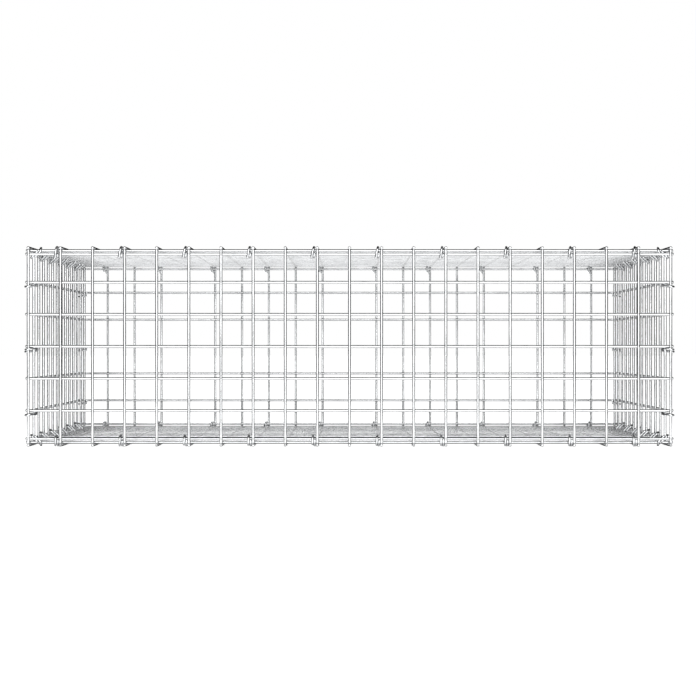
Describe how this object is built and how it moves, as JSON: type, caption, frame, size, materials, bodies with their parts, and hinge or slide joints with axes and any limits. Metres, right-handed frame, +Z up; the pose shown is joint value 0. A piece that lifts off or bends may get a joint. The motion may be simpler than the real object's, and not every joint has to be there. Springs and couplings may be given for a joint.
{
  "type": "gabion basket",
  "caption": "Empty rectangular gabion basket of welded steel mesh panels, closed with C-rings, for retaining walls and steps.",
  "frame": {"origin": "on the ground, under the middle of the basket", "axes": "+X along the basket's length, +Y from the front long wall to the back one, +Z up"},
  "size_m": [1.011, 0.63, 0.312],
  "materials": {
    "mesh_wire": "galvanised satin",
    "ring_wire": "galvanised satin"
  },
  "bodies": {
    "root": {"back_panel": "mesh_wire", "base_panel": "mesh_wire", "front_panel": "mesh_wire", "left_end_panel": "mesh_wire", "lid_panel": "mesh_wire", "right_end_panel": "mesh_wire", "back_bottom_rings_left": "ring_wire", "back_bottom_rings_right": "ring_wire", "back_left_corner_ring_high": "ring_wire", "back_left_corner_ring_low": "ring_wire", "back_left_corner_ring_middle": "ring_wire", "back_right_corner_ring_high": "ring_wire", "back_right_corner_ring_low": "ring_wire", "back_right_corner_ring_middle": "ring_wire", "back_top_rings_left": "ring_wire", "back_top_rings_right": "ring_wire", "front_bottom_rings_left": "ring_wire", "front_bottom_rings_right": "ring_wire", "front_left_corner_ring_high": "ring_wire", "front_left_corner_ring_low": "ring_wire", "front_left_corner_ring_middle": "ring_wire", "front_right_corner_ring_high": "ring_wire", "front_right_corner_ring_low": "ring_wire", "front_right_corner_ring_middle": "ring_wire", "front_top_rings_left": "ring_wire", "front_top_rings_right": "ring_wire", "left_bottom_rings_back": "ring_wire", "left_bottom_rings_front": "ring_wire", "left_top_rings_back": "ring_wire", "left_top_rings_front": "ring_wire", "right_bottom_rings_back": "ring_wire", "right_bottom_rings_front": "ring_wire", "right_top_rings_back": "ring_wire", "right_top_rings_front": "ring_wire"}
  },
  "joints": []
}
